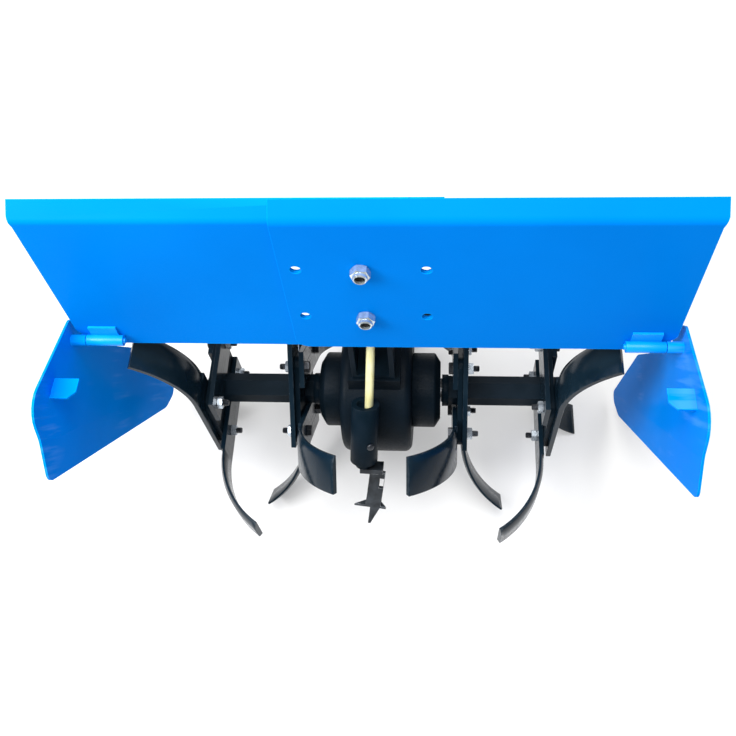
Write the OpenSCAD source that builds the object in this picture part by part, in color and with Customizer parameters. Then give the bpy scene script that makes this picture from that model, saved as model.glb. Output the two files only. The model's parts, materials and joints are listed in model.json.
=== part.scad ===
// Rear rotary tiller attachment for a walking tractor, parked on its tines and coupling flange.
// Millimetres, +Z up, X along the rotor, the hood and stake on the -Y side, floor at Z = 0.

/* [Rotor] */
// Radius of the tine tips, measured at mid width
tine_reach = 183; // [160:1:200]
// Width of a tine blade
tine_width = 46; // [36:1:52]
// Thickness of a tine blade
tine_plate = 6; // [5:0.5:8]
// Radius at which a tine starts to bend sideways
tine_bend_start = 78; // [74:1:90]
// Sideways throw of a tine tip
tine_throw = 54; // [40:1:58]
// Gap between a bearing hub and the inner tine flange
flange_gap = 21; // [18:1:30]
// Distance between the inner and the outer tine flange
flange_pitch = 108; // [90:1:120]
// Thickness of a tine flange
flange_plate = 6; // [5:0.5:10]
// Gap between the edge of a tine and the axle's corners
tine_gap = 0.5; // [0.4:0.1:3]
// Diameter of the tine bolt holes
tine_hole = 10.5; // [8.5:0.5:12.5]
// Distance of the tine bolts from the edges of flange and tine root
tine_bolt_edge = 14; // [12:1:18]
// Width across the flats of the hexagonal axles
axle_flats = 32; // [26:1:38]
// Length of axle outside the outer flange
axle_overhang = 12; // [6:1:30]
// Diameter of the shaft through the gear case
shaft_d = 30; // [22:1:34]
// Diameter of the round collar at the inner end of an axle
collar_d = 40; // [38:1:46]

/* [Gear case] */
// Radius of the gear case about the rotor axis
case_r = 78; // [70:1:84]
// Left face of the gear case
case_left = -46; // [-60:1:-40]
// Right face of the gear case
case_right = 40; // [30:1:60]
// Edge radius of the casting
case_edge = 9; // [6:1:20]
// Outer radius of the bearing hubs
hub_r = 47; // [36:1:52]
// Outer end of the bearing hubs, from the middle
hub_reach = 75; // [70:1:80]
// Height of the bracket seat above the casting
seat_rise = 10; // [6:1:20]

/* [Coupling] */
// Forward tip of the body while parked, from its working attitude
park_tilt = 30; // [24:1:34]
// Radius of the input neck
neck_r = 28; // [24:1:30]
// Radius of the coupling flange
coupling_r = 62; // [56:1:66]
// Thickness of the coupling flange
coupling_plate = 16; // [14:1:22]
// Distance of the coupling bolts from the flange's edge
coupling_edge = 13; // [11:1:16]
// Diameter of the coupling bolt holes
coupling_hole = 11; // [9:0.5:13]
// Wall between the coupling register and the bolt holes
register_wall = 11.5; // [8:0.5:16]
// Depth of the coupling register
register_depth = 8; // [6:1:10]
// Diameter of the input shaft
input_d = 22; // [16:1:26]

/* [Hood] */
// Width of the whole hood
hood_width = 627; // [600:1:760]
// Height of the hood's upright panel
panel_height = 198; // [150:1:220]
// Sheet thickness of hood and wings
sheet = 2.5; // [2:0.5:4]
// Height of the hood's lower edge above the tine tips
hood_rise = 7; // [5:1:30]
// Distance of the face where the two panels meet, behind the rotor axis
panel_back = 54; // [50:1:80]
// Length of the bent top lip
lip_length = 20; // [15:0.5:40]
// Angle of the top lip from the upright panel
lip_angle = 55; // [10:1:70]
// How far the lip reaches past the panel's outer edge
lip_ear = 3; // [0:0.5:4]
// How far each panel reaches past its outer holes
panel_overlap = 16; // [12:1:40]
// Corner radius at the overlapping ends
overlap_corner = 14; // [4:1:20]
// Spacing of the three hole columns
hole_column = 61.5; // [50:0.5:66]
// Height of the lower hole row above the hood's lower edge
hole_row_low = 57.5; // [40:0.5:66]
// Distance between the two hole rows
hole_row_pitch = 76; // [50:1:90]
// Diameter of the hood's holes
hood_hole = 11; // [9:0.5:13]

/* [Bracket] */
// Clear distance between the two bracket arms
bracket_gap = 38; // [34:1:40]
// Plate thickness of the bracket
bracket_plate = 6; // [4:0.5:7]

/* [Wings] */
// Gap between hood edge and wing plate
wing_gap = 6.5; // [6:0.5:14]
// Distance of the wing hinge above the lower wing edge
wing_hinge_height = 141; // [130:1:160]
// Length of the lower wing edge ahead of the hinge
wing_front = 354; // [300:1:366]
// Length of the wing behind the hinge
wing_rear = 104; // [90:1:110]
// Width of the bent lower strip
wing_strip = 44; // [30:1:60]
// Outward bend of the lower strip
wing_flare = 3; // [0:1:20]
// Outer diameter of the hinge knuckles
knuckle_d = 12; // [10:0.5:13]
// Diameter of the hinge pin
pin_d = 6; // [5:0.5:6]
// Height of the hinge axis above the hood's lower edge
hinge_rise = 14; // [6.5:0.5:16]
// Length of the knuckle on the hood
hood_knuckle = 40; // [30:1:60]
// Length of the knuckle on the wing
wing_knuckle = 16; // [14:1:30]

/* [Stake] */
// Middle of the stake along the rotor
stake_x = -14; // [-17:1:-8]
// Sideways lean of the stake
stake_lean = 3; // [0:0.5:4]
// Outer diameter of the stake socket
socket_d = 33; // [28:1:34]
// Length of the stake socket
socket_length = 79; // [60:1:90]
// Height of the socket's mouth above the rotor axis
socket_top = 35; // [20:1:40]
// Diameter of the stake shank
shank_d = 20; // [16:1:22]
// Distance of the spike tip below the rotor axis
spike_drop = 134; // [128:1:145]
// Diameter of the rod on the stake
rod_d = 10; // [8:1:10]
// Length of the rod
rod_length = 205; // [120:1:220]

/* [Hidden] */
$fn = 48;
sides = [-1, 1];
side_names = ["left", "right"];
ring_names = ["inner", "outer"];
tines_per_flange = 4;

// Fits
running = 0.08;
turn_gap = 2;
cut = 1;

// Each tine lies along one side of its flange, beside the axle, and trails as the rotor turns
tine_pitch = 360 / tines_per_flange;
tine_bevel = 11;
tine_lip = 2.5;
axle_hex_d = axle_flats / cos(30);
tine_front_edge = axle_hex_d / 2 + tine_gap;
tine_side = tine_front_edge + tine_width / 2;
tine_back_edge = tine_front_edge + tine_width;
tine_front_foot = tine_front_edge + tine_bevel;
tine_tip = sqrt(pow(tine_reach, 2) - pow(tine_side, 2));
tine_root = -tine_side - tine_bolt_edge;

// The rotor stands on the front corners of the outer tines and the back corners of the inner ones
ring_lead = tine_pitch / 2;
ring_turn = atan2(
    tine_back_edge * sin(ring_lead) + tine_tip * cos(ring_lead) - tine_tip,
    tine_front_foot - tine_back_edge * cos(ring_lead) + tine_tip * sin(ring_lead)
);
ring_start = [ring_turn + ring_lead, ring_turn];
axis_z = max([for (turn = ring_start, edge = [tine_front_foot, tine_back_edge])
    edge * sin(turn) + tine_tip * cos(turn)]);
inner_flange_x = hub_reach + flange_gap + flange_plate / 2;
ring_x = [inner_flange_x, inner_flange_x + flange_pitch];

// A tine is flat on its flange, then bends until its tip has the throw
tine_rise = tine_tip - tine_bend_start;
tine_bend = 2 * atan(tine_throw / tine_rise);
tine_outer_r = tine_rise / sin(tine_bend);
collar_length = 8;

// Gear case and bracket seat
bracket_x = (case_left + case_right) / 2;
bracket_half = bracket_gap / 2 + bracket_plate;
seat_height = case_r + seat_rise;
seat_margin = 6;
seat_half = 36;
seat_wide = 2 * bracket_half + 2 * seat_margin;
seat_deep = 2 * seat_half + seat_margin;
hub_bevel = 7;
shaft_room = 1;

// The coupling flange touches the floor ahead of the rotor
face_reach = (axis_z - coupling_r * cos(park_tilt)) / sin(park_tilt);
front_reach = face_reach * cos(park_tilt) + coupling_r * sin(park_tilt);
coupling_pcd = 2 * (coupling_r - coupling_edge);
register_r = coupling_pcd / 2 - coupling_hole / 2 - register_wall;
boss_wall = 8;
boss_end_wall = 4;
neck_boss = 22;
neck_start = case_r + neck_boss;
neck_bore_d = input_d + 4;
input_recess = 2;

// Hood and hinge places, from the rotor axis
hood_half = hood_width / 2;
panel_bottom = tine_reach + hood_rise;
panel_top = panel_bottom + panel_height;
panel_end = hole_column + panel_overlap;
lip_radius = 2 * sheet;
corner_cut = 15;
corner_rise = 24;
leaf_height = 18;
leaf_inset = 5;
hinge_z = panel_bottom + hinge_rise;
wing_x = hood_half + wing_gap;
knuckle_gap = 1;
hood_knuckle_end = wing_x - wing_knuckle - knuckle_gap;
pin_head_d = 11;
pin_head = 3;
pin_end = 2;

// Bracket arm places
pad_under = 26;
pad_over = 22;
pad_low = panel_bottom + hole_row_low - pad_under;
pad_high = panel_bottom + hole_row_low + hole_row_pitch + pad_over;
arm_shoulder = 14;
arm_front = 32;
arm_waist = 42;
arm_heel = 70;

// Stop tab of a wing: distance behind and above the hinge, size and cut corner
tab_back = 57;
tab_rise = 13;
tab_width = 23;
tab_reach = 27;
tab_corner = 8;

// Stake details
stake_back = case_r + socket_d / 2 - 1;
socket_bottom = socket_top - socket_length;
web_half = 7;
web_inset = 8;
shank_recess = 6;
shank_out = 8;
shank_bottom = socket_bottom - shank_out;
rod_offset = (shank_d - rod_d) / 2 - 0.5;
foot_cap = 6;
cap_left = 4;
foot_leg = 6;
foot_face = 13;
foot_plate = 5;
foot_depth = 18;
foot_lean = 5;
foot_shift = 14;
foot_length = spike_drop + shank_bottom - foot_cap;
spike_length = 28;
cross_half = 20;
cross_plate = 3;
cross_depth = 11;
slot_width = 5;
slot_length = 14;

// Wing outline: along the lower edge, above it, corner radius
ear = 22;
wing_neck = wing_strip + 2 * sheet;
wing_shoulder = 0.6 * wing_hinge_height;
wing_outline = [
    [-0.62 * wing_rear, 0, 0.36 * wing_strip],
    [0.91 * wing_front, 0.11 * wing_hinge_height, 0.9 * wing_strip],
    [wing_front, 0.7 * wing_strip, 0.25 * wing_strip],
    [wing_front, 1.03 * wing_strip, 0.2 * wing_strip],
    [0.58 * wing_front, 0.8 * wing_hinge_height, wing_strip],
    [0.145 * wing_front, 0.94 * wing_hinge_height, 0.5 * wing_strip],
    [0.073 * wing_front, wing_hinge_height + ear, 0.3 * wing_strip],
    [-0.06 * wing_rear, wing_hinge_height + ear, 0.25 * wing_strip],
    [-1.03 * wing_rear, wing_shoulder, 0.84 * (wing_shoulder - wing_neck)],
    [-0.82 * wing_rear, wing_neck, 0],
];
wing_path = rounded(wing_outline);
wing_hang = wing_angle(wing_path);
rear_reach = min([for (p = wing_path) wing_y(p)]);
shaft_y = -(front_reach + rear_reach) / 2;

// Rear face of each panel, the right one lying over the left one, and the hinge axis on it
function panel_face(side) = -panel_back - side * sheet;
function hinge_y(side) = panel_face(side) - knuckle_d / 2;

function flange_name(ring, side) = str("tine_flange_", ring_names[ring], "_", side_names[side]);
function tine_name(ring, side, k) = str("tine_", ring_names[ring], "_", side_names[side], "_", k);

// Outline with round corners from points of [x, y, corner radius]
function unit(v) = v / norm(v);
function flat(p) = [p[0], p[1]];
function turned(v, a) = [v[0] * cos(a) - v[1] * sin(a), v[0] * sin(a) + v[1] * cos(a)];
function corner(a, b, c, r, steps = 6) =
    let (
        u = unit(a - b),
        v = unit(c - b),
        half = acos(u * v) / 2,
        centre = b + unit(u + v) * r / sin(half),
        start = b + u * r / tan(half) - centre,
        end = b + v * r / tan(half) - centre,
        sweep = (180 - 2 * half) * sign(cross(start, end))
    )
    [for (i = [0:steps]) centre + turned(start, sweep * i / steps)];
function rounded(pts) =
    let (n = len(pts))
    [for (i = [0:n - 1])
        let (b = pts[i])
        each b[2] == 0
            ? [flat(b)]
            : corner(flat(pts[(i + n - 1) % n]), flat(b), flat(pts[(i + 1) % n]), b[2])];

// A wing hangs with the middle of its outline straight below the hinge
function total(v, i = 0) = i < len(v) ? v[i] + total(v, i + 1) : v[0] * 0;
function edge_cross(p, i) = cross(p[i], p[(i + 1) % len(p)]);
function middle(p) =
    let (
        n = len(p),
        area = total([for (i = [0:n - 1]) edge_cross(p, i)]) / 2,
        moment = total([for (i = [0:n - 1]) (p[i] + p[(i + 1) % n]) * edge_cross(p, i)])
    )
    moment / (6 * area);
function wing_angle(p) = let (m = middle(p)) atan2(m[0], wing_hinge_height - m[1]);
function wing_y(p) = hinge_y(1) + p[0] * cos(wing_hang) + (p[1] - wing_hinge_height) * sin(wing_hang);

// From the rotor axis to the floor frame
module placed() {
    translate([0, shaft_y, axis_z]) children();
}

// From the working attitude, stake upright and neck level, to the parked one
module tipped() {
    placed() rotate([-park_tilt, 0, 0]) children();
}

// A cylinder along X between two stations
module bar_x(from, to, r) {
    translate([min(from, to), 0, 0]) rotate([0, 90, 0]) cylinder(r = r, h = abs(to - from));
}

// A plate outline in Y and Z, extruded along X between two stations
module plate_x(from, to) {
    translate([min(from, to), 0, 0]) rotate([90, 0, 90]) linear_extrude(abs(to - from)) children();
}

module gear_case() {
    color("#1c1d20") placed() difference() {
        union() {
            rotate([0, 90, 0]) rotate_extrude() polygon(rounded([
                [0, case_left, 0],
                [case_r, case_left, case_edge],
                [case_r, case_right, case_edge],
                [0, case_right, 0],
            ]));
            translate([bracket_x - seat_wide / 2, -seat_deep / 2, 0])
                cube([seat_wide, seat_deep, seat_height]);
            rotate([-park_tilt, 0, 0]) rotate([-90, 0, 0])
                cylinder(r1 = neck_r + boss_wall, r2 = neck_r + boss_end_wall, h = neck_start);
        }
        bar_x(case_left - cut, case_right + cut, shaft_d / 2 + shaft_room);
    }
}

module bearing_hub(from, to) {
    span = abs(to - from);
    bore_r = shaft_d / 2 + running;
    color("#1c1d20") placed() translate([from, 0, 0]) rotate([0, to > from ? 90 : -90, 0])
        rotate_extrude() polygon([
            [bore_r, 0],
            [hub_r, 0],
            [hub_r, span - hub_bevel],
            [hub_r - 1.6 * hub_bevel, span],
            [bore_r, span],
        ]);
}

module bearing_hub_left() {
    bearing_hub(case_left, -hub_reach);
}

module bearing_hub_right() {
    bearing_hub(case_right, hub_reach);
}

module input_neck() {
    color("#1c1d20") tipped() rotate([-90, 0, 0]) translate([0, 0, neck_start])
        difference() {
            cylinder(r = neck_r, h = face_reach - coupling_plate - neck_start);
            translate([0, 0, -cut]) cylinder(d = neck_bore_d, h = face_reach);
        }
}

module coupling_flange() {
    color("#1c1d20") tipped() rotate([-90, 0, 0]) translate([0, 0, face_reach - coupling_plate])
        difference() {
            cylinder(r = coupling_r, h = coupling_plate);
            translate([0, 0, -cut]) cylinder(d = neck_bore_d, h = coupling_plate + 2 * cut);
            translate([0, 0, coupling_plate - register_depth]) cylinder(r = register_r, h = coupling_plate);
            for (k = [0:3])
                rotate([0, 0, 45 + 90 * k]) translate([coupling_pcd / 2, 0, -cut])
                    cylinder(d = coupling_hole, h = coupling_plate + 2 * cut);
        }
}

module input_shaft() {
    color("#8f9296") tipped() rotate([-90, 0, 0]) translate([0, 0, neck_start])
        cylinder(d = input_d, h = face_reach - register_depth - input_recess - neck_start);
}

module hood_bracket() {
    left = bracket_x - bracket_half;
    right = bracket_x + bracket_half;
    pad_face = -panel_back + sheet;
    arm = rounded([
        [pad_face, pad_high, 0],
        [pad_face + bracket_plate + arm_shoulder, pad_high, arm_shoulder / 2],
        [arm_front, seat_height + arm_waist, 1.4 * arm_waist],
        [seat_half, seat_height, 0],
        [-seat_half, seat_height, 0],
        [-seat_half, seat_height + arm_heel, 0.4 * arm_heel],
        [pad_face, pad_low, 0],
    ]);
    color("#1c1d20") placed() difference() {
        union() {
            plate_x(left, left + bracket_plate) polygon(arm);
            plate_x(right - bracket_plate, right) polygon(arm);
            translate([left, pad_face, pad_low]) cube([right - left, bracket_plate, pad_high - pad_low]);
            translate([left, -seat_half, seat_height]) cube([right - left, 2 * seat_half, bracket_plate]);
        }
        for (row = [0, 1])
            translate([0, pad_face - cut, panel_bottom + hole_row_low + row * hole_row_pitch])
                rotate([-90, 0, 0]) cylinder(d = hood_hole, h = bracket_plate + 2 * cut);
    }
}

// One hood panel: bent sheet with holes, a cut outer corner and a lip. Drawn for the right side.
// The outer panel's bend lies around the inner one's.
module hood_panel(side) {
    lip_y = lip_length * sin(lip_angle);
    lip_z = lip_length * cos(lip_angle);
    nest = sheet * tan(lip_angle / 2);
    bend_z = panel_top + side * nest;
    bend_r = lip_radius + side * sheet;
    profile = rounded([
        [0, panel_bottom, 0],
        [0, bend_z, bend_r],
        [lip_y, bend_z + lip_z, 0],
        [lip_y - sheet * cos(lip_angle), bend_z + lip_z + sheet * sin(lip_angle), 0],
        [-sheet, bend_z + nest, bend_r + sheet],
        [-sheet, panel_bottom, 0],
    ]);
    outline = rounded([
        [-panel_end, panel_bottom, overlap_corner],
        [hood_half - corner_cut, panel_bottom, 0.2 * corner_cut],
        [hood_half, panel_bottom + corner_rise, 0.4 * corner_cut],
        [hood_half, panel_top - lip_radius, 0],
        [hood_half + lip_ear, panel_top + lip_radius, 0],
        [hood_half + lip_ear, panel_top + 2 * lip_length, 0],
        [-panel_end, panel_top + 2 * lip_length, 0],
    ]);
    translate([0, panel_face(side) + sheet, 0]) difference() {
        intersection() {
            plate_x(-panel_end - cut, hood_half + lip_ear + cut) polygon(profile);
            translate([0, lip_length, 0]) rotate([90, 0, 0]) linear_extrude(2 * lip_length) polygon(outline);
        }
        for (column = [-1:1], row = [0, 1])
            translate([column * hole_column, cut, panel_bottom + hole_row_low + row * hole_row_pitch])
                rotate([90, 0, 0]) cylinder(d = hood_hole, h = sheet + 2 * cut);
    }
}

module hood_panel_left() {
    color("#0a6be0") placed() mirror([1, 0, 0]) hood_panel(0);
}

module hood_panel_right() {
    color("#0a6be0") placed() hood_panel(1);
}

// Knuckle welded to the hood with its leaf. Drawn for the right side.
module hinge_leaf(side) {
    from = hood_knuckle_end - hood_knuckle;
    translate([0, hinge_y(side), hinge_z]) difference() {
        union() {
            bar_x(from, hood_knuckle_end, knuckle_d / 2);
            translate([from + leaf_inset, knuckle_d / 2 - sheet, 0])
                cube([hood_knuckle - 2 * leaf_inset, sheet, leaf_height]);
        }
        bar_x(from - cut, hood_knuckle_end + cut, pin_d / 2);
    }
}

module hinge_leaf_left() {
    color("#0a6be0") placed() mirror([1, 0, 0]) hinge_leaf(0);
}

module hinge_leaf_right() {
    color("#0a6be0") placed() hinge_leaf(1);
}

module hinge_pin(side) {
    head = wing_x + sheet + knuckle_gap;
    translate([0, hinge_y(side), hinge_z]) {
        bar_x(hood_knuckle_end - hood_knuckle - pin_end, head, pin_d / 2);
        bar_x(head, head + pin_head, pin_head_d / 2);
    }
}

module hinge_pin_left() {
    color("#b9bcc0") placed() mirror([1, 0, 0]) hinge_pin(0);
}

module hinge_pin_right() {
    color("#b9bcc0") placed() hinge_pin(1);
}

// Wing plate with bent strip, knuckle and stop tab. Drawn for the right side.
// The sheet is bent along the whole wing and then cut to the outline.
module wing(side) {
    span = wing_front + 2 * wing_rear;
    low = 2 * wing_strip;
    flare_x = low * sin(wing_flare);
    flare_z = wing_strip - low * cos(wing_flare);
    bent_sheet = [
        [0, 2 * wing_hinge_height],
        [0, wing_strip],
        [flare_x, flare_z],
        [flare_x + sheet * cos(wing_flare), flare_z + sheet * sin(wing_flare)],
        [sheet, wing_strip + sheet * tan(wing_flare / 2)],
        [sheet, 2 * wing_hinge_height],
    ];
    translate([wing_x, hinge_y(side), hinge_z]) difference() {
        union() {
            rotate([-wing_hang, 0, 0]) translate([0, 0, -wing_hinge_height]) intersection() {
                translate([0, wing_front + cut, 0]) rotate([90, 0, 0])
                    linear_extrude(span) polygon(bent_sheet);
                plate_x(-cut, low) polygon(wing_path);
            }
            bar_x(-wing_knuckle, sheet / 2, knuckle_d / 2);
            translate([sheet / 2, -tab_back - tab_width, tab_rise]) linear_extrude(sheet) polygon([
                [0, 0],
                [tab_corner - tab_reach, 0],
                [-tab_reach, tab_corner],
                [-tab_reach, tab_width],
                [0, tab_width],
            ]);
        }
        bar_x(-wing_knuckle - cut, sheet + cut, pin_d / 2 + running);
    }
}

module wing_left() {
    color("#0a6be0") placed() mirror([1, 0, 0]) wing(0);
}

module wing_right() {
    color("#0a6be0") placed() wing(1);
}

module rotor_shaft() {
    color("#8f9296") placed() bar_x(-hub_reach - turn_gap, hub_reach + turn_gap, shaft_d / 2);
}

// Hexagonal axle with its collar. Drawn for the right side.
module axle() {
    start = hub_reach + turn_gap;
    hex_start = start + collar_length;
    end = ring_x[1] + flange_plate / 2 + axle_overhang;
    bar_x(start, hex_start, collar_d / 2);
    translate([hex_start, 0, 0]) rotate([0, 90, 0]) cylinder(d = axle_hex_d, h = end - hex_start, $fn = 6);
}

module axle_left() {
    color("#1c1d20") placed() mirror([1, 0, 0]) axle();
}

module axle_right() {
    color("#1c1d20") placed() axle();
}

// Drilled square plate on the axle, turned with its tines
module tine_flange(ring, side) {
    near_face = sides[side] * ring_x[ring] - flange_plate / 2;
    half = tine_side + tine_bolt_edge;
    color("#1c1d20") placed() translate([near_face, 0, 0]) difference() {
        plate_x(0, flange_plate) rotate(-ring_start[ring]) polygon(rounded([
            [-half, -half, tine_bolt_edge],
            [half, -half, tine_bolt_edge],
            [half, half, tine_bolt_edge],
            [-half, half, tine_bolt_edge],
        ]));
        rotate([0, 90, 0]) translate([0, 0, -cut])
            cylinder(d = axle_hex_d, h = flange_plate + 2 * cut, $fn = 6);
        for (k = [1:tines_per_flange])
            rotate([-ring_start[ring] - tine_pitch * k, 0, 0]) translate([0, tine_side, -tine_side])
                bar_x(-cut, flange_plate + cut, tine_hole / 2);
    }
}

// Bent blade pointing down, its flat root on the side of the flange it bends towards.
// The front edge of the bent part is ground to a cutting edge.
module tine(ring, side, k) {
    outward = k % 2 == 1 ? 1 : -1;
    bend = sides[side] * outward;
    root_x = sides[side] * ring_x[ring] + bend * (flange_plate + tine_plate) / 2;
    color("#26272a") placed() rotate([-ring_start[ring] - tine_pitch * (k - 1), 0, 0])
        translate([root_x, tine_side, 0]) mirror([bend > 0 ? 0 : 1, 0, 0]) {
            difference() {
                translate([-tine_plate / 2, -tine_width / 2, -tine_bend_start])
                    cube([tine_plate, tine_width, tine_bend_start - tine_root]);
                for (along = [-tine_side, tine_side])
                    translate([0, 0, along]) bar_x(-tine_plate, tine_plate, tine_hole / 2);
            }
            translate([tine_outer_r - tine_plate / 2, 0, -tine_bend_start]) rotate([90, 0, 0])
                rotate([0, 0, 180]) rotate_extrude(angle = tine_bend)
                    translate([tine_outer_r - tine_plate, 0]) polygon([
                        [0, -tine_width / 2],
                        [tine_plate, -tine_width / 2],
                        [tine_plate, tine_width / 2 - tine_bevel],
                        [tine_lip, tine_width / 2],
                        [0, tine_width / 2],
                    ]);
        }
}

// Stake frame: on the stake axis, level with the rotor axis
module staked() {
    tipped() translate([stake_x, -stake_back, 0]) rotate([0, stake_lean, 0]) children();
}

module stake_socket() {
    color("#1c1d20") difference() {
        staked() difference() {
            union() {
                translate([0, 0, socket_bottom]) cylinder(d = socket_d, h = socket_length);
                translate([-web_half, 0, socket_bottom + web_inset])
                    cube([2 * web_half, stake_back - case_r / 2, socket_length - 2 * web_inset]);
            }
            translate([0, 0, socket_bottom - cut])
                cylinder(r = shank_d / 2 + running, h = socket_length + 2 * cut);
        }
        placed() bar_x(case_left, case_right, case_r);
    }
}

module stake_shank() {
    color("#26272a") staked() translate([0, 0, shank_bottom])
        cylinder(d = shank_d, h = socket_top - shank_recess - shank_bottom);
}

module stake_rod() {
    color("#c9a23a") staked() translate([rod_offset, 0, socket_top - shank_recess])
        cylinder(d = rod_d, h = rod_length);
}

// Angle iron under a cap, its face plate slotted and drawn out to a spike with two tapered fins
module stake_foot() {
    color("#3a3b3e") staked() translate([0, 0, shank_bottom - foot_cap]) {
        translate([-cap_left, -shank_d / 2, 0]) cube([cap_left + shank_d / 2 + foot_shift, shank_d, foot_cap]);
        translate([foot_shift, 0, 0]) rotate([0, foot_lean, 0]) {
            difference() {
                translate([0, -foot_depth / 2, 0]) rotate([-90, 0, 0]) linear_extrude(foot_plate) polygon([
                    [0, -foot_cap / 2],
                    [foot_face, -foot_cap / 2],
                    [foot_face, foot_length - spike_length],
                    [foot_leg / 2, foot_length],
                    [0, foot_length],
                ]);
                translate([foot_face / 2 + 1, -foot_depth, -foot_cap - slot_length])
                    cube([slot_width, foot_depth, slot_length]);
            }
            translate([-foot_leg, -foot_depth / 2, -foot_length + spike_length])
                cube([foot_leg, foot_depth, foot_length - spike_length + foot_cap / 2]);
            translate([0, -foot_depth / 2, -foot_length + spike_length - cross_plate])
                linear_extrude(cross_plate) polygon([
                    [-cross_half, 0],
                    [cross_half, 0],
                    [foot_face, cross_depth],
                    [-foot_leg, cross_depth],
                ]);
        }
    }
}

gear_case();
bearing_hub_left();
bearing_hub_right();
input_neck();
coupling_flange();
input_shaft();
hood_bracket();
hood_panel_left();
hood_panel_right();
hinge_leaf_left();
hinge_leaf_right();
hinge_pin_left();
hinge_pin_right();
wing_left();
wing_right();
rotor_shaft();
axle_left();
axle_right();
stake_socket();
stake_shank();
stake_rod();
stake_foot();
for (ring = [0, 1], side = [0, 1])
    tine_flange(ring, side);
for (ring = [0, 1], side = [0, 1], k = [1:tines_per_flange])
    tine(ring, side, k);
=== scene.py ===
import json
import math

import bmesh
import bpy
from mathutils import Matrix, Vector


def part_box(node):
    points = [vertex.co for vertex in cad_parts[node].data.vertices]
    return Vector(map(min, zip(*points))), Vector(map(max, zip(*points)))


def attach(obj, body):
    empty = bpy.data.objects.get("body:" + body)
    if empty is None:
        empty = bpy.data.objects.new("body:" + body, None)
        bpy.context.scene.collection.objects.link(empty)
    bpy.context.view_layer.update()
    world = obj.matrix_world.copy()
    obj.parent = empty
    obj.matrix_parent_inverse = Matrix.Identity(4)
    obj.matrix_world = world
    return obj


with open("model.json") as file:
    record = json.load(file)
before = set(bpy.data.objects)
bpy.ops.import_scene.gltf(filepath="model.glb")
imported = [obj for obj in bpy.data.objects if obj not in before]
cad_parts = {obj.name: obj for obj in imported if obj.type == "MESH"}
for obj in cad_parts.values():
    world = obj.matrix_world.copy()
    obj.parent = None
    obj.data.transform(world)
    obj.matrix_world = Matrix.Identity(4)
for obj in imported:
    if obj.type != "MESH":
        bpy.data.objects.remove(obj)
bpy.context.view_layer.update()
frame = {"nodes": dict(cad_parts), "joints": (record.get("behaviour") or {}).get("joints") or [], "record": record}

MM = 0.001

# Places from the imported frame, in metres
JOINTS = {joint["name"]: joint for joint in frame["joints"]}
MOUNTS = {mount["name"]: mount for mount in frame["record"]["mounts"]}
ROTOR = Vector(JOINTS["rotor_spin"]["pos_m"])
STAKE_DOWN = Vector(JOINTS["stake_slide"]["axis"])
HOOD_HOLES = MOUNTS["hood_holes"]

# Repeated from the part, turns in degrees
SIDES = {"left": -1, "right": 1}
RING_TURNS = {"inner": 41.76, "outer": -3.24}
TINES_PER_FLANGE = 4
TINE_PLATE = 6 * MM
TINE_BOLT_SIDE = 41.98 * MM
BRACKET_PLATE = 6 * MM

# Hood bolts and lock nuts, M10, turns in radians
BOLT_R = 5 * MM
THREAD_PITCH = 1.5 * MM
NUT_FLATS = 17 * MM
HEAD_HEIGHT = 6.4 * MM
WASHER_R = 10 * MM
WASHER_THICK = 2 * MM
WASHER_EDGE = 0.3 * MM
WASHER_HOLE = BOLT_R + 0.3 * MM
LOCK_NUT_HEX = 8.5 * MM
LOCK_NUT_HEIGHT = 12.5 * MM
COLLAR_R = 0.42 * NUT_FLATS
COLLAR_BORE = BOLT_R + 0.35 * MM
COLLAR_PROFILE = [
    (COLLAR_BORE, LOCK_NUT_HEX - MM), (COLLAR_R + 0.4 * MM, LOCK_NUT_HEX - MM),
    (COLLAR_R, LOCK_NUT_HEIGHT - 1.2 * MM), (COLLAR_R - 0.9 * MM, LOCK_NUT_HEIGHT - 0.2 * MM),
    (COLLAR_BORE + 0.6 * MM, LOCK_NUT_HEIGHT), (COLLAR_BORE, LOCK_NUT_HEIGHT - 0.4 * MM)]
BOLT_END_R = BOLT_R + 0.3 * MM
BOLT_END_LOW = LOCK_NUT_HEX - 2 * MM
BOLT_END_HIGH = LOCK_NUT_HEIGHT - 2.4 * MM
NUT_TURN = 0.35
HEAD_TURN = 0.2

# Tine bolts and nuts, M8
TINE_BOLT_R = 4 * MM
TINE_NUT_FLATS = 13 * MM
TINE_NUT_HEIGHT = 6.8 * MM
TINE_HEAD_HEIGHT = 5.3 * MM
TINE_BOLT_STUB = 7 * MM

# Set screw, seated just inside the socket's skin, turned about the stake in degrees
# and about itself in radians
SCREW_SEAT = 16.3 * MM
SCREW_DROP = 4 * MM
SCREW_TURN = -30.0
SCREW_ROLL = 0.4
SCREW_PROFILE = [(4.4 * MM, -MM), (4.4 * MM, 1.6 * MM), (3.8 * MM, 2.4 * MM), (3.0 * MM, 2.8 * MM)]
SCREW_SIDES = 24

# Meshes

SHARP_ANGLE = 30
CIRCLE_SIDES = 36
HEXAGON_SIDES = 48
THREAD_SIDES = 24
CHAMFER_SHARE = 0.475
CHAMFER_ANGLE = 30
GROOVE = 0.55 * THREAD_PITCH
CREST = 0.45 * THREAD_PITCH
# Chamfer of a bolt's tip, as (inset, drop) pairs
TIP_PROFILE = [(0.2 * GROOVE, 1.4 * GROOVE), (1.6 * GROOVE, 0)]


def link(name, bm):
    """A new object from a bmesh, smooth but for its sharp edges."""
    bmesh.ops.recalc_face_normals(bm, faces=bm.faces)
    mesh = bpy.data.meshes.new(name)
    bm.to_mesh(mesh)
    bm.free()
    for face in mesh.polygons:
        face.use_smooth = True
    mesh.set_sharp_from_angle(angle=math.radians(SHARP_ANGLE))
    obj = bpy.data.objects.new(name, mesh)
    bpy.context.scene.collection.objects.link(obj)
    return obj


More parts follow.
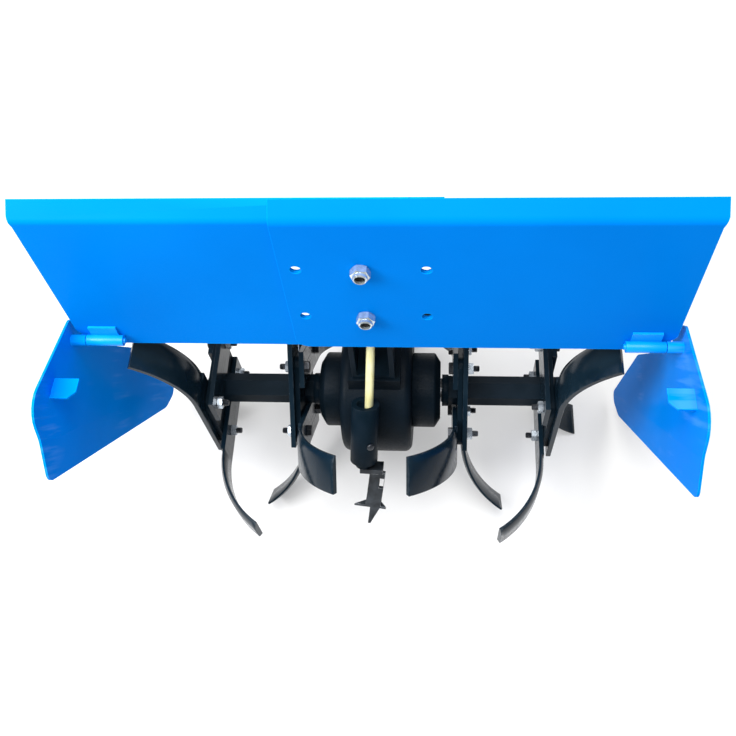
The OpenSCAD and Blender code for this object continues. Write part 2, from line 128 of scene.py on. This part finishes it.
def along(point, direction, turn):
    """A matrix whose +Z runs from point in a direction, turned about it."""
    facing = Vector(direction).to_track_quat("Z", "Y").to_matrix().to_4x4()
    return Matrix.Translation(point) @ facing @ Matrix.Rotation(turn, 4, "Z")


def join_rings(bm, low, high):
    """Faces between two rings with as many points each."""
    for i in range(len(low)):
        j = (i + 1) % len(low)
        bm.faces.new((low[i], low[j], high[j], high[i]))


def placed_rings(bm, rings, matrix):
    return [[bm.verts.new(matrix @ Vector(point)) for point in ring] for ring in rings]


def loft(bm, rings, matrix):
    """Joins rings of points, with a cap on both ends."""
    loops = placed_rings(bm, rings, matrix)
    for low, high in zip(loops, loops[1:]):
        join_rings(bm, low, high)
    bm.faces.new(list(reversed(loops[0])))
    bm.faces.new(loops[-1])


def circle(radius, height, count=CIRCLE_SIDES):
    turns = [math.tau * i / count for i in range(count)]
    return [(radius * math.cos(t), radius * math.sin(t), height) for t in turns]


def turned(bm, profile, matrix, count):
    """A solid of revolution about +Z from (radius, height) pairs."""
    loft(bm, [circle(r, z, count) for r, z in profile], matrix)


def tube(bm, profile, matrix):
    """A ring about +Z from a closed loop of (radius, height) pairs."""
    loops = placed_rings(bm, [circle(r, z) for r, z in profile], matrix)
    for k, low in enumerate(loops):
        join_rings(bm, low, loops[(k + 1) % len(loops)])


def hexagon(bm, flats, low, high, matrix, chamfer=(True, True)):
    """A hexagon prism along +Z, with the corners of its lower and upper end turned off or not."""
    inner = CHAMFER_SHARE * flats
    slope = math.tan(math.radians(CHAMFER_ANGLE))

    def reach(turn):
        return flats / 2 / math.cos((turn + math.pi / 6) % (math.pi / 3) - math.pi / 6)

    turns = [math.tau * i / HEXAGON_SIDES for i in range(HEXAGON_SIDES)]
    rims = []
    for height, inward, cut in ((low, 1, chamfer[0]), (high, -1, chamfer[1])):
        drop = inward * slope if cut else 0
        rims.append([(reach(t) * math.cos(t), reach(t) * math.sin(t), height + drop * (reach(t) - inner))
                     for t in turns])
    rings = [circle(inner, low, HEXAGON_SIDES), rims[0], rims[1], circle(inner, high, HEXAGON_SIDES)]
    loft(bm, rings, matrix)


def thread(bm, radius, low, high, matrix):
    """A bolt end with thread grooves and a chamfered tip."""
    profile = [(radius - GROOVE, low)]
    height = low
    while height + THREAD_PITCH < high - GROOVE:
        profile += [(radius, height + CREST), (radius - GROOVE, height + THREAD_PITCH)]
        height += THREAD_PITCH
    profile += [(radius - inset, high - drop) for inset, drop in TIP_PROFILE]
    turned(bm, profile, matrix, THREAD_SIDES)


def washer(bm, matrix):
    tube(bm, [(WASHER_HOLE, 0), (WASHER_R, 0), (WASHER_R, WASHER_THICK - WASHER_EDGE),
              (WASHER_R - WASHER_EDGE, WASHER_THICK), (WASHER_HOLE, WASHER_THICK)], matrix)


# Materials

# Edge colour: rubbed paint and steel on the dark finishes, a painted edge highlight on the blue paints
WEAR_AND_HIGHLIGHT_WIDTH = 1.2 * MM
WEAR_AND_HIGHLIGHT_GRAIN = 140.0
# Cosine between rounded and true normal where the edge colour starts and where it is full
WEAR_AND_HIGHLIGHT_RANGE = (0.985, 0.9)
# Lighter slanting streaks on the wings: partly scratch marks, partly a painted highlight of glossy paint
SCUFF_AND_HIGHLIGHT_SCALE = 9.0
SCUFF_AND_HIGHLIGHT_STRETCH = (1, 1, 12)
SCUFF_AND_HIGHLIGHT_TILT = -58.0
SCUFF_AND_HIGHLIGHT_STRENGTH = 0.55
# Parts of the noise that are spread over a whole blend
SCUFF_AND_HIGHLIGHT_LINES = (0.52, 0.64)
SCUFF_AND_HIGHLIGHT_PATCHES = (0.49, 0.61)
BLOTCH_RANGE = (0.35, 0.65)
GRAIN_RANGE = (0.3, 0.7)


def value_noise(nodes, links, scale, detail, stretch=(1, 1, 1), tilt=0.0):
    """Noise over the object's own coordinates, stretched and tilted about X."""
    coords = nodes.new("ShaderNodeTexCoord")
    mapping = nodes.new("ShaderNodeMapping")
    mapping.vector_type = "TEXTURE"
    mapping.inputs["Scale"].default_value = [1 / value for value in stretch]
    mapping.inputs["Rotation"].default_value = (math.radians(tilt), 0, 0)
    noise = nodes.new("ShaderNodeTexNoise")
    noise.inputs["Scale"].default_value = scale
    noise.inputs["Detail"].default_value = detail
    links.new(coords.outputs["Object"], mapping.inputs["Vector"])
    links.new(mapping.outputs["Vector"], noise.inputs["Vector"])
    return noise.outputs["Fac"]


def ramp(nodes, links, source, low, high, low_value=0.0, high_value=1.0):
    """Maps low to high onto low_value to high_value, clamped."""
    node = nodes.new("ShaderNodeMapRange")
    node.inputs["From Min"].default_value = low
    node.inputs["From Max"].default_value = high
    node.inputs["To Min"].default_value = low_value
    node.inputs["To Max"].default_value = high_value
    links.new(source, node.inputs["Value"])
    return node.outputs["Result"]


def mixed(nodes, links, factor, low, high):
    """A blend of two colours, each a tuple or another node's output."""
    node = nodes.new("ShaderNodeMix")
    node.data_type = "RGBA"
    links.new(factor, node.inputs["Factor"])
    for socket, colour in ((node.inputs["A"], low), (node.inputs["B"], high)):
        if isinstance(colour, tuple):
            socket.default_value = (*colour, 1)
        else:
            links.new(colour, socket)
    return node.outputs["Result"]


def product(nodes, links, first, second):
    node = nodes.new("ShaderNodeMath")
    node.operation = "MULTIPLY"
    links.new(first, node.inputs[0])
    links.new(second, node.inputs[1])
    return node.outputs["Value"]


def edge_mask(nodes, links):
    """Nearly 1 close to an edge and 0 on a flat, from a rounded normal."""
    bevel = nodes.new("ShaderNodeBevel")
    bevel.inputs["Radius"].default_value = WEAR_AND_HIGHLIGHT_WIDTH
    geometry = nodes.new("ShaderNodeNewGeometry")
    dot = nodes.new("ShaderNodeVectorMath")
    dot.operation = "DOT_PRODUCT"
    links.new(bevel.outputs["Normal"], dot.inputs[0])
    links.new(geometry.outputs["True Normal"], dot.inputs[1])
    return ramp(nodes, links, dot.outputs["Value"], *WEAR_AND_HIGHLIGHT_RANGE)


def scuff_and_highlight_streaks(nodes, links):
    """Thin slanting lighter streaks that gather in a few patches, partly scratch marks and partly a painted
    highlight of glossy paint.
    """
    streak_noise = value_noise(nodes, links, SCUFF_AND_HIGHLIGHT_SCALE, 6.0, SCUFF_AND_HIGHLIGHT_STRETCH, SCUFF_AND_HIGHLIGHT_TILT)
    lines = ramp(nodes, links, streak_noise, *SCUFF_AND_HIGHLIGHT_LINES)
    places = value_noise(nodes, links, SCUFF_AND_HIGHLIGHT_SCALE, 2.0)
    patches = ramp(nodes, links, places, *SCUFF_AND_HIGHLIGHT_PATCHES, 0.0, SCUFF_AND_HIGHLIGHT_STRENGTH)
    return product(nodes, links, lines, patches)


def finish_material(name, base, second, rough, blotch, grain, bump, bump_size=0.4 * MM, edge_wear_and_highlight=None,
                    wear_and_highlight_cover=(0.45, 0.62), scuff_and_highlight_colour=None, metallic=0.0, specular=0.5, stretch=(1, 1, 1)):
    """A finish of two shades in blotches, roughness and bump from grain, lighter streaks that are partly scratch
    marks and partly painted highlight, and an edge colour, rubbed on the dark finishes and a painted edge
    highlight on the blue paints.
    """
    material = bpy.data.materials.new(name)
    material.use_nodes = True
    nodes, links = material.node_tree.nodes, material.node_tree.links
    shader = nodes["Principled BSDF"]
    shader.inputs["Metallic"].default_value = metallic
    shader.inputs["Specular IOR Level"].default_value = specular
    blotches = value_noise(nodes, links, blotch, 6.0)
    fine = value_noise(nodes, links, grain, 3.0, stretch)
    colour = mixed(nodes, links, ramp(nodes, links, blotches, *BLOTCH_RANGE), base, second)
    # Lighter streaks, partly scratch marks and partly painted highlight
    if scuff_and_highlight_colour:
        colour = mixed(nodes, links, scuff_and_highlight_streaks(nodes, links), colour, scuff_and_highlight_colour)
    # Edge colour: rubbed on the dark finishes, a painted edge highlight on the blue paints
    if edge_wear_and_highlight:
        edges = edge_mask(nodes, links)
        broken = ramp(nodes, links, value_noise(nodes, links, WEAR_AND_HIGHLIGHT_GRAIN, 5.0), *wear_and_highlight_cover)
        colour = mixed(nodes, links, product(nodes, links, edges, broken), colour, edge_wear_and_highlight)
    links.new(colour, shader.inputs["Base Color"])
    links.new(ramp(nodes, links, fine, *GRAIN_RANGE, *rough), shader.inputs["Roughness"])
    height = nodes.new("ShaderNodeBump")
    height.inputs["Strength"].default_value = bump
    height.inputs["Distance"].default_value = bump_size
    links.new(fine, height.inputs["Height"])
    links.new(height.outputs["Normal"], shader.inputs["Normal"])
    return material


FINISHES = {
    # One blue paint in lit and shaded copies: this one on the hood, lighter copies as painted light on the wings
    # and hinges. Its lighter blue on nearly every edge is a painted edge highlight.
    "blue_paint": dict(
        base=(0.0, 0.160, 0.60), second=(0.0, 0.180, 0.66), edge_wear_and_highlight=(0.0, 0.33, 0.86), wear_and_highlight_cover=(0.2, 0.4),
        specular=0.004, rough=(0.22, 0.32), blotch=5.0, grain=520.0, bump=0.06),
    # Wings: a lighter copy of the blue paint, painted light, with lighter streaks that are partly scratch marks
    # and partly painted highlight
    "blue_wing": dict(
        base=(0.0, 0.185, 0.70), second=(0.0, 0.210, 0.78), edge_wear_and_highlight=(0.0, 0.36, 0.92), wear_and_highlight_cover=(0.2, 0.4),
        scuff_and_highlight_colour=(0.06, 0.28, 0.80), specular=0.002, rough=(0.1, 0.2), blotch=7.0, grain=480.0, bump=0.08),
    # Hinge leaves and pins: a lighter copy of the blue paint, painted light as on up-facing tops, with real gloss
    "blue_gloss": dict(
        base=(0.0, 0.255, 0.79), second=(0.0, 0.285, 0.85), edge_wear_and_highlight=(0.0, 0.40, 0.95), specular=0.25,
        rough=(0.28, 0.38), blotch=30.0, grain=600.0, bump=0.08),
    "black_paint": dict(
        base=(0.002, 0.007, 0.012), second=(0.005, 0.011, 0.018), edge_wear_and_highlight=(0.014, 0.022, 0.030),
        specular=0.03, rough=(0.3, 0.42), blotch=30.0, grain=700.0, bump=0.12),
    "black_casting": dict(
        base=(0.002, 0.005, 0.008), second=(0.004, 0.008, 0.013), edge_wear_and_highlight=(0.014, 0.020, 0.027),
        specular=0.05, rough=(0.36, 0.5), blotch=24.0, grain=420.0, bump=0.35, bump_size=0.8 * MM),
    "tine_steel": dict(
        base=(0.002, 0.008, 0.015), second=(0.006, 0.015, 0.024), edge_wear_and_highlight=(0.04, 0.052, 0.064),
        specular=0.13, rough=(0.14, 0.24), blotch=18.0, grain=260.0, bump=0.1, stretch=(1, 1, 0.25)),
    "ground_steel": dict(
        base=(0.42, 0.43, 0.45), second=(0.52, 0.53, 0.55), metallic=1.0, rough=(0.22, 0.36),
        blotch=40.0, grain=900.0, bump=0.05, stretch=(6, 1, 1)),
    "zinc": dict(
        base=(0.46, 0.52, 0.55), second=(0.66, 0.73, 0.77), metallic=0.75, rough=(0.12, 0.24),
        blotch=160.0, grain=1200.0, bump=0.04),
    "dark_zinc": dict(
        base=(0.36, 0.41, 0.47), second=(0.58, 0.64, 0.70), metallic=0.7, rough=(0.18, 0.3),
        blotch=160.0, grain=1200.0, bump=0.05),
    "yellow_zinc": dict(
        base=(0.86, 0.80, 0.36), second=(0.95, 0.92, 0.55), metallic=0.15, rough=(0.3, 0.42),
        blotch=60.0, grain=900.0, bump=0.05),
    "worn_steel": dict(
        base=(0.004, 0.006, 0.009), second=(0.035, 0.042, 0.05), edge_wear_and_highlight=(0.30, 0.31, 0.32), metallic=0.3,
        rough=(0.3, 0.5), blotch=55.0, grain=500.0, bump=0.15),
    "black_bolt": dict(
        base=(0.010, 0.012, 0.016), second=(0.024, 0.028, 0.034), edge_wear_and_highlight=(0.15, 0.16, 0.18), metallic=0.5,
        rough=(0.26, 0.42), blotch=120.0, grain=1100.0, bump=0.06),
    # Near-black on the bolt end inside the lock nut's collar: painted shade of the recess, with the dark plastic
    # insert
    "nylon_and_recess_shade": dict(
        base=(0.002, 0.002, 0.003), second=(0.004, 0.004, 0.005), specular=0.05, rough=(0.4, 0.5),
        blotch=80.0, grain=900.0, bump=0.05),
}
MATERIALS = {name: finish_material(name, **values) for name, values in FINISHES.items()}


def paint(obj, name):
    obj.data.materials.clear()
    obj.data.materials.append(MATERIALS[name])


def add_piece(name, bm, body, material):
    """A finished piece that rides on a body."""
    obj = link(name, bm)
    paint(obj, material)
    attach(obj, body)


# The CAD nodes: finish of their slot, or by name a lighter copy of the blue paint as painted light on the wings
# and hinges, and edges broken as on real sheet and plate

NODE_LIT_PAINT_COPIES = {"wing": "blue_wing", "hinge_leaf": "blue_gloss", "hinge_pin": "blue_gloss"}
NODE_EDGES = {"hood_panel": 1.0 * MM, "wing": 0.5 * MM, "hinge_leaf": 0.5 * MM, "tine": 0.7 * MM,
              "gear_case": 2.5 * MM, "bearing_hub": 1.5 * MM}
PLAIN_EDGE = 0.8 * MM
EDGE_ANGLE = 40
EDGE_SEGMENTS = 2
WELD_DISTANCE = 0.01 * MM


def by_start(table, name, otherwise):
    """The table's value whose key the name starts with."""
    return next((value for start, value in table.items() if name.startswith(start)), otherwise)


def dress_nodes():
    slots = {part["node"]: part["material_slot"] for part in frame["record"]["subparts"]}
    for name, obj in frame["nodes"].items():
        paint(obj, by_start(NODE_LIT_PAINT_COPIES, name, slots[name]))
        weld = obj.modifiers.new("weld", "WELD")
        weld.merge_threshold = WELD_DISTANCE
        bevel = obj.modifiers.new("edges", "BEVEL")
        bevel.width = by_start(NODE_EDGES, name, PLAIN_EDGE)
        bevel.segments = EDGE_SEGMENTS
        bevel.limit_method = "ANGLE"
        bevel.angle_limit = math.radians(EDGE_ANGLE)
        bevel.harden_normals = True


# Fasteners

def tine_fasteners():
    """A bolt through every flange corner and the two tines on it, nuts between the flanges of a side."""
    for ring, start in RING_TURNS.items():
        for side, sign in SIDES.items():
            flange_low, flange_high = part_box(f"tine_flange_{ring}_{side}")
            faces = {-1: flange_low.x - TINE_PLATE, 1: flange_high.x + TINE_PLATE}
            nut_sign = sign if ring == "inner" else -sign
            bolts, nuts = bmesh.new(), bmesh.new()
            for k in range(TINES_PER_FLANGE):
                turn = math.radians(start + 360 / TINES_PER_FLANGE * k)
                outward = Vector((0, -math.sin(turn), -math.cos(turn)))
                sideways = Vector((0, math.cos(turn), -math.sin(turn)))
                centre = ROTOR + TINE_BOLT_SIDE * (outward + sideways)
                seat = Vector((faces[nut_sign], centre.y, centre.z))
                back = Vector((faces[-nut_sign], centre.y, centre.z))
                to_nut = along(seat, (nut_sign, 0, 0), turn + k)
                to_head = along(back, (-nut_sign, 0, 0), turn - k)
                hexagon(nuts, TINE_NUT_FLATS, 0, TINE_NUT_HEIGHT, to_nut)
                thread(bolts, TINE_BOLT_R, TINE_NUT_HEIGHT - MM, TINE_NUT_HEIGHT + TINE_BOLT_STUB, to_nut)
                hexagon(bolts, TINE_NUT_FLATS, 0, TINE_HEAD_HEIGHT, to_head, chamfer=(False, True))
            add_piece(f"tine_bolts_{ring}_{side}", bolts, "rotor", "black_bolt")
            add_piece(f"tine_nuts_{ring}_{side}", nuts, "rotor", "dark_zinc")


def hood_fasteners():
    """Two bolts through the middle holes of both panels and the bracket, lock nuts on the rear face."""
    centre = Vector(HOOD_HOLES["pos_m"])
    half_pitch = HOOD_HOLES["dims"]["spacing_y_mm"] / 2 * MM
    rear_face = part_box("hinge_leaf_right")[1].y
    pad_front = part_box("hood_bracket")[0].y + BRACKET_PLATE
    for level, sign in (("low", -1), ("high", 1)):
        height = centre.z + sign * half_pitch
        rearward = along((centre.x, rear_face, height), (0, -1, 0), NUT_TURN * sign)
        forward = along((centre.x, pad_front, height), (0, 1, 0), HEAD_TURN)
        nut = bmesh.new()
        hexagon(nut, NUT_FLATS, 0, LOCK_NUT_HEX, rearward)
        tube(nut, COLLAR_PROFILE, rearward)
        add_piece(f"hood_nut_{level}", nut, "frame", "zinc")
        bolt_end = bmesh.new()
        thread(bolt_end, BOLT_END_R, BOLT_END_LOW, BOLT_END_HIGH, rearward)
        # The bolt end is near-black as painted shade of the recess in the lock nut
        add_piece(f"hood_bolt_end_{level}", bolt_end, "frame", "nylon_and_recess_shade")
        head = bmesh.new()
        washer(head, forward)
        hexagon(head, NUT_FLATS, WASHER_THICK, WASHER_THICK + HEAD_HEIGHT, forward, chamfer=(False, True))
        add_piece(f"hood_bolt_head_{level}", head, "frame", "zinc")


def stake_fasteners():
    """A round set screw on the rear of the stake socket."""
    shank_low, shank_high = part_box("stake_shank")
    rear = STAKE_DOWN.cross(Vector((1, 0, 0))).normalized()
    if rear.y > 0:
        rear.negate()
    outward = Matrix.Rotation(math.radians(SCREW_TURN), 3, STAKE_DOWN) @ rear
    seat = (shank_low + shank_high) / 2 + STAKE_DOWN * SCREW_DROP + outward * SCREW_SEAT
    screw = bmesh.new()
    turned(screw, SCREW_PROFILE, along(seat, outward, SCREW_ROLL), SCREW_SIDES)
    add_piece("stake_set_screw", screw, "frame", "black_bolt")


# Studio, with the camera fitted to the photo

FLOOR_SIZE = 14.0
FLOOR_SHADE = 0.55
FLOOR_GLOW = 0.3
FLOOR_ROUGHNESS = 0.8
WORLD_STRENGTH = 0.27
LAMP_TARGET = ROTOR + Vector((0, 0, 0.1))
# Name, place from the target, size in metres, power in watts
LAMPS = (("top", (-0.1, -0.45, 3.0), 2.4, 150), ("key", (-1.05, -0.6, 1.15), 0.8, 30))
CAMERA_FROM_ROTOR = Vector((0.07743, -0.55826, 0.98165))
CAMERA_ELEVATION = 59.0
CAMERA_YAW = -4.816
CAMERA_ROLL = -0.641
CAMERA_CLIP = 0.01
FOCAL_PIXELS = 885.4
IMAGE_PIXELS = 736
SENSOR = 36.0


def studio():
    floor_bm = bmesh.new()
    bmesh.ops.create_grid(floor_bm, x_segments=1, y_segments=1, size=FLOOR_SIZE / 2)
    floor = link("floor", floor_bm)
    material = bpy.data.materials.new("floor")
    material.use_nodes = True
    shader = material.node_tree.nodes["Principled BSDF"]
    shader.inputs["Base Color"].default_value = (FLOOR_SHADE, FLOOR_SHADE, FLOOR_SHADE, 1)
    shader.inputs["Emission Color"].default_value = (1, 1, 1, 1)
    shader.inputs["Emission Strength"].default_value = FLOOR_GLOW
    shader.inputs["Roughness"].default_value = FLOOR_ROUGHNESS
    shader.inputs["Specular IOR Level"].default_value = 0.0
    floor.data.materials.append(material)

    world = bpy.data.worlds.new("studio")
    world.use_nodes = True
    background = world.node_tree.nodes["Background"]
    background.inputs["Color"].default_value = (1, 1, 1, 1)
    background.inputs["Strength"].default_value = WORLD_STRENGTH
    bpy.context.scene.world = world
    bpy.context.scene.view_settings.view_transform = "Standard"

    for name, place, size, power in LAMPS:
        light = bpy.data.lights.new(name, "AREA")
        light.size = size
        light.energy = power
        lamp = bpy.data.objects.new(name, light)
        lamp.location = LAMP_TARGET + Vector(place)
        lamp.rotation_euler = (LAMP_TARGET - lamp.location).to_track_quat("-Z", "Y").to_euler()
        bpy.context.scene.collection.objects.link(lamp)


def place_camera():
    data = bpy.data.cameras.new("camera")
    data.sensor_width = SENSOR
    data.sensor_fit = "HORIZONTAL"
    data.lens = FOCAL_PIXELS / IMAGE_PIXELS * SENSOR
    data.clip_start = CAMERA_CLIP
    camera = bpy.data.objects.new("camera", data)
    turn = (Matrix.Rotation(math.radians(90 - CAMERA_ELEVATION), 4, "X")
            @ Matrix.Rotation(math.radians(-CAMERA_YAW), 4, "Y")
            @ Matrix.Rotation(math.radians(-CAMERA_ROLL), 4, "Z"))
    camera.matrix_world = Matrix.Translation(ROTOR + CAMERA_FROM_ROTOR) @ turn
    bpy.context.scene.collection.objects.link(camera)
    bpy.context.scene.camera = camera


dress_nodes()
tine_fasteners()
hood_fasteners()
stake_fasteners()
studio()
place_camera()
